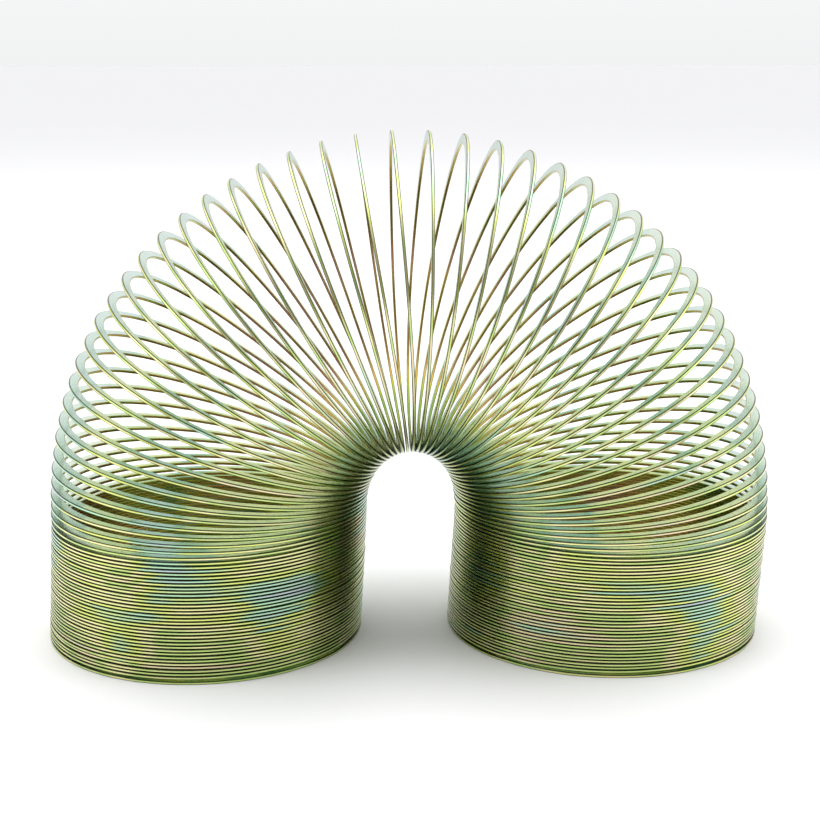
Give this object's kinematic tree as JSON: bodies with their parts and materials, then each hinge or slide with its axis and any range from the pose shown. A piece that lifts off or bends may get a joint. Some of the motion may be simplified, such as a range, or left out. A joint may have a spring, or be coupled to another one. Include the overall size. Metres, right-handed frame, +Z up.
{
  "type": "spring coil toy",
  "caption": "Long flat-wire metal spring coil bent over into an arch that stands on its two ends; the fan of turns folds shut and the feet stretch.",
  "frame": {"origin": "on the floor, in the middle of the outline", "axes": "+Z up, +X from the left foot to the right foot, +Y to the back; the coil is right-handed"},
  "size_m": [0.1382, 0.0604, 0.0952],
  "materials": {
    "spring_wire": "bright zinc plating with an iridescent yellow-green passivation",
    "crimp_steel": "plain zinc-plated sheet"
  },
  "bodies": {
    "left_base": {"left_base_turn": "spring_wire", "left_crimp": "crimp_steel", "left_lower_coils": "spring_wire"},
    "left_riser": {"left_upper_coils": "spring_wire"},
    "turn_01": {"arch_turn_01": "spring_wire"},
    "turn_02": {"arch_turn_02": "spring_wire"},
    "turn_03": {"arch_turn_03": "spring_wire"},
    "turn_04": {"arch_turn_04": "spring_wire"},
    "turn_05": {"arch_turn_05": "spring_wire"},
    "turn_06": {"arch_turn_06": "spring_wire"},
    "turn_07": {"arch_turn_07": "spring_wire"},
    "turn_08": {"arch_turn_08": "spring_wire"},
    "turn_09": {"arch_turn_09": "spring_wire"},
    "turn_10": {"arch_turn_10": "spring_wire"},
    "turn_11": {"arch_turn_11": "spring_wire"},
    "turn_12": {"arch_turn_12": "spring_wire"},
    "turn_13": {"arch_turn_13": "spring_wire"},
    "turn_14": {"arch_turn_14": "spring_wire"},
    "turn_15": {"arch_turn_15": "spring_wire"},
    "turn_16": {"arch_turn_16": "spring_wire"},
    "turn_17": {"arch_turn_17": "spring_wire"},
    "turn_18": {"arch_turn_18": "spring_wire"},
    "turn_19": {"arch_turn_19": "spring_wire"},
    "turn_20": {"arch_turn_20": "spring_wire"},
    "turn_21": {"arch_turn_21": "spring_wire"},
    "turn_22": {"arch_turn_22": "spring_wire"},
    "turn_23": {"arch_turn_23": "spring_wire"},
    "turn_24": {"arch_turn_24": "spring_wire"},
    "turn_25": {"arch_turn_25": "spring_wire"},
    "turn_26": {"arch_turn_26": "spring_wire"},
    "turn_27": {"arch_turn_27": "spring_wire"},
    "turn_28": {"arch_turn_28": "spring_wire"},
    "turn_29": {"arch_turn_29": "spring_wire"},
    "turn_30": {"arch_turn_30": "spring_wire"},
    "turn_31": {"arch_turn_31": "spring_wire"},
    "turn_32": {"arch_turn_32": "spring_wire"},
    "turn_33": {"arch_turn_33": "spring_wire"},
    "turn_34": {"arch_turn_34": "spring_wire"},
    "turn_35": {"arch_turn_35": "spring_wire"},
    "turn_36": {"arch_turn_36": "spring_wire"},
    "turn_37": {"arch_turn_37": "spring_wire"},
    "turn_38": {"arch_turn_38": "spring_wire"},
    "turn_39": {"arch_turn_39": "spring_wire"},
    "turn_40": {"arch_turn_40": "spring_wire"},
    "turn_41": {"arch_turn_41": "spring_wire"},
    "turn_42": {"arch_turn_42": "spring_wire"},
    "turn_43": {"arch_turn_43": "spring_wire"},
    "turn_44": {"arch_turn_44": "spring_wire"},
    "turn_45": {"arch_turn_45": "spring_wire"},
    "turn_46": {"arch_turn_46": "spring_wire"},
    "turn_47": {"arch_turn_47": "spring_wire"},
    "turn_48": {"arch_turn_48": "spring_wire"},
    "turn_49": {"arch_turn_49": "spring_wire"},
    "turn_50": {"arch_turn_50": "spring_wire"},
    "turn_51": {"arch_turn_51": "spring_wire"},
    "turn_52": {"arch_turn_52": "spring_wire"},
    "right_riser": {"right_upper_coils": "spring_wire"},
    "right_base": {"right_lower_coils": "spring_wire", "right_crimp": "crimp_steel", "right_base_turn": "spring_wire"}
  },
  "joints": [
    {"name": "left_foot_stretch", "type": "slide", "parent": "left_base", "child": "left_riser", "axis": [0, 0, 1], "range_m": [0, 0.012]},
    {"name": "rim_hinge_01", "type": "hinge", "parent": "left_riser", "child": "turn_01", "pos_m": [-0.00752, 0, 0.02251], "axis": [0, 1, 0], "range_deg": [-0.36703, 0]},
    {"name": "rim_hinge_02", "type": "hinge", "parent": "turn_01", "child": "turn_02", "pos_m": [-0.00752, 0, 0.02315], "axis": [0, 1, 0], "range_deg": [-0.71286, 0]},
    {"name": "rim_hinge_03", "type": "hinge", "parent": "turn_02", "child": "turn_03", "pos_m": [-0.00751, 0, 0.02379], "axis": [0, 1, 0], "range_deg": [-1.04, 0]},
    {"name": "rim_hinge_04", "type": "hinge", "parent": "turn_03", "child": "turn_04", "pos_m": [-0.00748, 0, 0.02443], "axis": [0, 1, 0], "range_deg": [-1.34, 0]},
    {"name": "rim_hinge_05", "type": "hinge", "parent": "turn_04", "child": "turn_05", "pos_m": [-0.00744, 0, 0.02507], "axis": [0, 1, 0], "range_deg": [-1.63, 0]},
    {"name": "rim_hinge_06", "type": "hinge", "parent": "turn_05", "child": "turn_06", "pos_m": [-0.00739, 0, 0.02571], "axis": [0, 1, 0], "range_deg": [-1.9, 0]},
    {"name": "rim_hinge_07", "type": "hinge", "parent": "turn_06", "child": "turn_07", "pos_m": [-0.00731, 0, 0.02634], "axis": [0, 1, 0], "range_deg": [-2.16, 0]},
    {"name": "rim_hinge_08", "type": "hinge", "parent": "turn_07", "child": "turn_08", "pos_m": [-0.00721, 0, 0.02697], "axis": [0, 1, 0], "range_deg": [-2.4, 0]},
    {"name": "rim_hinge_09", "type": "hinge", "parent": "turn_08", "child": "turn_09", "pos_m": [-0.00708, 0, 0.0276], "axis": [0, 1, 0], "range_deg": [-2.62, 0]},
    {"name": "rim_hinge_10", "type": "hinge", "parent": "turn_09", "child": "turn_10", "pos_m": [-0.00692, 0, 0.02822], "axis": [0, 1, 0], "range_deg": [-2.84, 0]},
    {"name": "rim_hinge_11", "type": "hinge", "parent": "turn_10", "child": "turn_11", "pos_m": [-0.00674, 0, 0.02883], "axis": [0, 1, 0], "range_deg": [-3.04, 0]},
    {"name": "rim_hinge_12", "type": "hinge", "parent": "turn_11", "child": "turn_12", "pos_m": [-0.00652, 0, 0.02943], "axis": [0, 1, 0], "range_deg": [-3.23, 0]},
    {"name": "rim_hinge_13", "type": "hinge", "parent": "turn_12", "child": "turn_13", "pos_m": [-0.00626, 0, 0.03002], "axis": [0, 1, 0], "range_deg": [-3.42, 0]},
    {"name": "rim_hinge_14", "type": "hinge", "parent": "turn_13", "child": "turn_14", "pos_m": [-0.00598, 0, 0.03059], "axis": [0, 1, 0], "range_deg": [-3.6, 0]},
    {"name": "rim_hinge_15", "type": "hinge", "parent": "turn_14", "child": "turn_15", "pos_m": [-0.00565, 0, 0.03115], "axis": [0, 1, 0], "range_deg": [-3.77, 0]},
    {"name": "rim_hinge_16", "type": "hinge", "parent": "turn_15", "child": "turn_16", "pos_m": [-0.00529, 0, 0.03168], "axis": [0, 1, 0], "range_deg": [-3.94, 0]},
    {"name": "rim_hinge_17", "type": "hinge", "parent": "turn_16", "child": "turn_17", "pos_m": [-0.0049, 0, 0.03218], "axis": [0, 1, 0], "range_deg": [-4.11, 0]},
    {"name": "rim_hinge_18", "type": "hinge", "parent": "turn_17", "child": "turn_18", "pos_m": [-0.00447, 0, 0.03266], "axis": [0, 1, 0], "range_deg": [-4.28, 0]},
    {"name": "rim_hinge_19", "type": "hinge", "parent": "turn_18", "child": "turn_19", "pos_m": [-0.00401, 0, 0.0331], "axis": [0, 1, 0], "range_deg": [-4.45, 0]},
    {"name": "rim_hinge_20", "type": "hinge", "parent": "turn_19", "child": "turn_20", "pos_m": [-0.00351, 0, 0.0335], "axis": [0, 1, 0], "range_deg": [-4.62, 0]},
    {"name": "rim_hinge_21", "type": "hinge", "parent": "turn_20", "child": "turn_21", "pos_m": [-0.00298, 0, 0.03386], "axis": [0, 1, 0], "range_deg": [-4.79, 0]},
    {"name": "rim_hinge_22", "type": "hinge", "parent": "turn_21", "child": "turn_22", "pos_m": [-0.00243, 0, 0.03418], "axis": [0, 1, 0], "range_deg": [-4.97, 0]},
    {"name": "rim_hinge_23", "type": "hinge", "parent": "turn_22", "child": "turn_23", "pos_m": [-0.00185, 0, 0.03445], "axis": [0, 1, 0], "range_deg": [-5.15, 0]},
    {"name": "rim_hinge_24", "type": "hinge", "parent": "turn_23", "child": "turn_24", "pos_m": [-0.00124, 0, 0.03466], "axis": [0, 1, 0], "range_deg": [-5.34, 0]},
    {"name": "rim_hinge_25", "type": "hinge", "parent": "turn_24", "child": "turn_25", "pos_m": [-0.00062, 0, 0.03482], "axis": [0, 1, 0], "range_deg": [-5.54, 0]},
    {"name": "rim_hinge_26", "type": "hinge", "parent": "turn_25", "child": "turn_26", "pos_m": [0.00001, 0, 0.03492], "axis": [0, 1, 0], "range_deg": [-5.74, 0]},
    {"name": "rim_hinge_27", "type": "hinge", "parent": "turn_26", "child": "turn_27", "pos_m": [0.00065, 0, 0.03495], "axis": [0, 1, 0], "range_deg": [-5.95, 0]},
    {"name": "rim_hinge_28", "type": "hinge", "parent": "turn_27", "child": "turn_28", "pos_m": [0.00129, 0, 0.03492], "axis": [0, 1, 0], "range_deg": [-5.74, 0]},
    {"name": "rim_hinge_29", "type": "hinge", "parent": "turn_28", "child": "turn_29", "pos_m": [0.00192, 0, 0.03482], "axis": [0, 1, 0], "range_deg": [-5.54, 0]},
    {"name": "rim_hinge_30", "type": "hinge", "parent": "turn_29", "child": "turn_30", "pos_m": [0.00254, 0, 0.03466], "axis": [0, 1, 0], "range_deg": [-5.34, 0]},
    {"name": "rim_hinge_31", "type": "hinge", "parent": "turn_30", "child": "turn_31", "pos_m": [0.00314, 0, 0.03445], "axis": [0, 1, 0], "range_deg": [-5.15, 0]},
    {"name": "rim_hinge_32", "type": "hinge", "parent": "turn_31", "child": "turn_32", "pos_m": [0.00372, 0, 0.03418], "axis": [0, 1, 0], "range_deg": [-4.97, 0]},
    {"name": "rim_hinge_33", "type": "hinge", "parent": "turn_32", "child": "turn_33", "pos_m": [0.00428, 0, 0.03386], "axis": [0, 1, 0], "range_deg": [-4.79, 0]},
    {"name": "rim_hinge_34", "type": "hinge", "parent": "turn_33", "child": "turn_34", "pos_m": [0.00481, 0, 0.0335], "axis": [0, 1, 0], "range_deg": [-4.62, 0]},
    {"name": "rim_hinge_35", "type": "hinge", "parent": "turn_34", "child": "turn_35", "pos_m": [0.0053, 0, 0.0331], "axis": [0, 1, 0], "range_deg": [-4.45, 0]},
    {"name": "rim_hinge_36", "type": "hinge", "parent": "turn_35", "child": "turn_36", "pos_m": [0.00577, 0, 0.03266], "axis": [0, 1, 0], "range_deg": [-4.28, 0]},
    {"name": "rim_hinge_37", "type": "hinge", "parent": "turn_36", "child": "turn_37", "pos_m": [0.0062, 0, 0.03218], "axis": [0, 1, 0], "range_deg": [-4.11, 0]},
    {"name": "rim_hinge_38", "type": "hinge", "parent": "turn_37", "child": "turn_38", "pos_m": [0.00659, 0, 0.03168], "axis": [0, 1, 0], "range_deg": [-3.94, 0]},
    {"name": "rim_hinge_39", "type": "hinge", "parent": "turn_38", "child": "turn_39", "pos_m": [0.00695, 0, 0.03115], "axis": [0, 1, 0], "range_deg": [-3.77, 0]},
    {"name": "rim_hinge_40", "type": "hinge", "parent": "turn_39", "child": "turn_40", "pos_m": [0.00727, 0, 0.03059], "axis": [0, 1, 0], "range_deg": [-3.6, 0]},
    {"name": "rim_hinge_41", "type": "hinge", "parent": "turn_40", "child": "turn_41", "pos_m": [0.00756, 0, 0.03002], "axis": [0, 1, 0], "range_deg": [-3.42, 0]},
    {"name": "rim_hinge_42", "type": "hinge", "parent": "turn_41", "child": "turn_42", "pos_m": [0.00781, 0, 0.02943], "axis": [0, 1, 0], "range_deg": [-3.23, 0]},
    {"name": "rim_hinge_43", "type": "hinge", "parent": "turn_42", "child": "turn_43", "pos_m": [0.00803, 0, 0.02883], "axis": [0, 1, 0], "range_deg": [-3.04, 0]},
    {"name": "rim_hinge_44", "type": "hinge", "parent": "turn_43", "child": "turn_44", "pos_m": [0.00822, 0, 0.02822], "axis": [0, 1, 0], "range_deg": [-2.84, 0]},
    {"name": "rim_hinge_45", "type": "hinge", "parent": "turn_44", "child": "turn_45", "pos_m": [0.00838, 0, 0.0276], "axis": [0, 1, 0], "range_deg": [-2.62, 0]},
    {"name": "rim_hinge_46", "type": "hinge", "parent": "turn_45", "child": "turn_46", "pos_m": [0.0085, 0, 0.02697], "axis": [0, 1, 0], "range_deg": [-2.4, 0]},
    {"name": "rim_hinge_47", "type": "hinge", "parent": "turn_46", "child": "turn_47", "pos_m": [0.00861, 0, 0.02634], "axis": [0, 1, 0], "range_deg": [-2.16, 0]},
    {"name": "rim_hinge_48", "type": "hinge", "parent": "turn_47", "child": "turn_48", "pos_m": [0.00868, 0, 0.02571], "axis": [0, 1, 0], "range_deg": [-1.9, 0]},
    {"name": "rim_hinge_49", "type": "hinge", "parent": "turn_48", "child": "turn_49", "pos_m": [0.00874, 0, 0.02507], "axis": [0, 1, 0], "range_deg": [-1.63, 0]},
    {"name": "rim_hinge_50", "type": "hinge", "parent": "turn_49", "child": "turn_50", "pos_m": [0.00878, 0, 0.02443], "axis": [0, 1, 0], "range_deg": [-1.34, 0]},
    {"name": "rim_hinge_51", "type": "hinge", "parent": "turn_50", "child": "turn_51", "pos_m": [0.0088, 0, 0.02379], "axis": [0, 1, 0], "range_deg": [-1.04, 0]},
    {"name": "rim_hinge_52", "type": "hinge", "parent": "turn_51", "child": "turn_52", "pos_m": [0.00881, 0, 0.02315], "axis": [0, 1, 0], "range_deg": [-0.71286, 0]},
    {"name": "rim_hinge_53", "type": "hinge", "parent": "turn_52", "child": "right_riser", "pos_m": [0.00882, 0, 0.02251], "axis": [0, 1, 0], "range_deg": [-0.36703, 0]},
    {"name": "right_foot_stretch", "type": "slide", "parent": "right_riser", "child": "right_base", "axis": [0, 0, -1], "range_m": [0, 0.012]}
  ],
  "couplings": [
    {"joint": "rim_hinge_01", "follows": "rim_hinge_27", "ratio": 0.061715},
    {"joint": "rim_hinge_02", "follows": "rim_hinge_27", "ratio": 0.11986},
    {"joint": "rim_hinge_03", "follows": "rim_hinge_27", "ratio": 0.17459},
    {"joint": "rim_hinge_04", "follows": "rim_hinge_27", "ratio": 0.22606},
    {"joint": "rim_hinge_05", "follows": "rim_hinge_27", "ratio": 0.27444},
    {"joint": "rim_hinge_06", "follows": "rim_hinge_27", "ratio": 0.31992},
    {"joint": "rim_hinge_07", "follows": "rim_hinge_27", "ratio": 0.36269},
    {"joint": "rim_hinge_08", "follows": "rim_hinge_27", "ratio": 0.40298},
    {"joint": "rim_hinge_09", "follows": "rim_hinge_27", "ratio": 0.44099},
    {"joint": "rim_hinge_10", "follows": "rim_hinge_27", "ratio": 0.47695},
    {"joint": "rim_hinge_11", "follows": "rim_hinge_27", "ratio": 0.51111},
    {"joint": "rim_hinge_12", "follows": "rim_hinge_27", "ratio": 0.5437},
    {"joint": "rim_hinge_13", "follows": "rim_hinge_27", "ratio": 0.57496},
    {"joint": "rim_hinge_14", "follows": "rim_hinge_27", "ratio": 0.60514},
    {"joint": "rim_hinge_15", "follows": "rim_hinge_27", "ratio": 0.63449},
    {"joint": "rim_hinge_16", "follows": "rim_hinge_27", "ratio": 0.66325},
    {"joint": "rim_hinge_17", "follows": "rim_hinge_27", "ratio": 0.69166},
    {"joint": "rim_hinge_18", "follows": "rim_hinge_27", "ratio": 0.71994},
    {"joint": "rim_hinge_19", "follows": "rim_hinge_27", "ratio": 0.74832},
    {"joint": "rim_hinge_20", "follows": "rim_hinge_27", "ratio": 0.77701},
    {"joint": "rim_hinge_21", "follows": "rim_hinge_27", "ratio": 0.80619},
    {"joint": "rim_hinge_22", "follows": "rim_hinge_27", "ratio": 0.83604},
    {"joint": "rim_hinge_23", "follows": "rim_hinge_27", "ratio": 0.86672},
    {"joint": "rim_hinge_24", "follows": "rim_hinge_27", "ratio": 0.89835},
    {"joint": "rim_hinge_25", "follows": "rim_hinge_27", "ratio": 0.93106},
    {"joint": "rim_hinge_26", "follows": "rim_hinge_27", "ratio": 0.96492},
    {"joint": "rim_hinge_28", "follows": "rim_hinge_27", "ratio": 0.96492},
    {"joint": "rim_hinge_29", "follows": "rim_hinge_27", "ratio": 0.93106},
    {"joint": "rim_hinge_30", "follows": "rim_hinge_27", "ratio": 0.89835},
    {"joint": "rim_hinge_31", "follows": "rim_hinge_27", "ratio": 0.86672},
    {"joint": "rim_hinge_32", "follows": "rim_hinge_27", "ratio": 0.83604},
    {"joint": "rim_hinge_33", "follows": "rim_hinge_27", "ratio": 0.80619},
    {"joint": "rim_hinge_34", "follows": "rim_hinge_27", "ratio": 0.77701},
    {"joint": "rim_hinge_35", "follows": "rim_hinge_27", "ratio": 0.74832},
    {"joint": "rim_hinge_36", "follows": "rim_hinge_27", "ratio": 0.71994},
    {"joint": "rim_hinge_37", "follows": "rim_hinge_27", "ratio": 0.69166},
    {"joint": "rim_hinge_38", "follows": "rim_hinge_27", "ratio": 0.66325},
    {"joint": "rim_hinge_39", "follows": "rim_hinge_27", "ratio": 0.63449},
    {"joint": "rim_hinge_40", "follows": "rim_hinge_27", "ratio": 0.60514},
    {"joint": "rim_hinge_41", "follows": "rim_hinge_27", "ratio": 0.57496},
    {"joint": "rim_hinge_42", "follows": "rim_hinge_27", "ratio": 0.5437},
    {"joint": "rim_hinge_43", "follows": "rim_hinge_27", "ratio": 0.51111},
    {"joint": "rim_hinge_44", "follows": "rim_hinge_27", "ratio": 0.47695},
    {"joint": "rim_hinge_45", "follows": "rim_hinge_27", "ratio": 0.44099},
    {"joint": "rim_hinge_46", "follows": "rim_hinge_27", "ratio": 0.40298},
    {"joint": "rim_hinge_47", "follows": "rim_hinge_27", "ratio": 0.36269},
    {"joint": "rim_hinge_48", "follows": "rim_hinge_27", "ratio": 0.31992},
    {"joint": "rim_hinge_49", "follows": "rim_hinge_27", "ratio": 0.27444},
    {"joint": "rim_hinge_50", "follows": "rim_hinge_27", "ratio": 0.22606},
    {"joint": "rim_hinge_51", "follows": "rim_hinge_27", "ratio": 0.17459},
    {"joint": "rim_hinge_52", "follows": "rim_hinge_27", "ratio": 0.11986},
    {"joint": "rim_hinge_53", "follows": "rim_hinge_27", "ratio": 0.061715},
    {"joint": "right_foot_stretch", "follows": "left_foot_stretch", "ratio": 1}
  ]
}
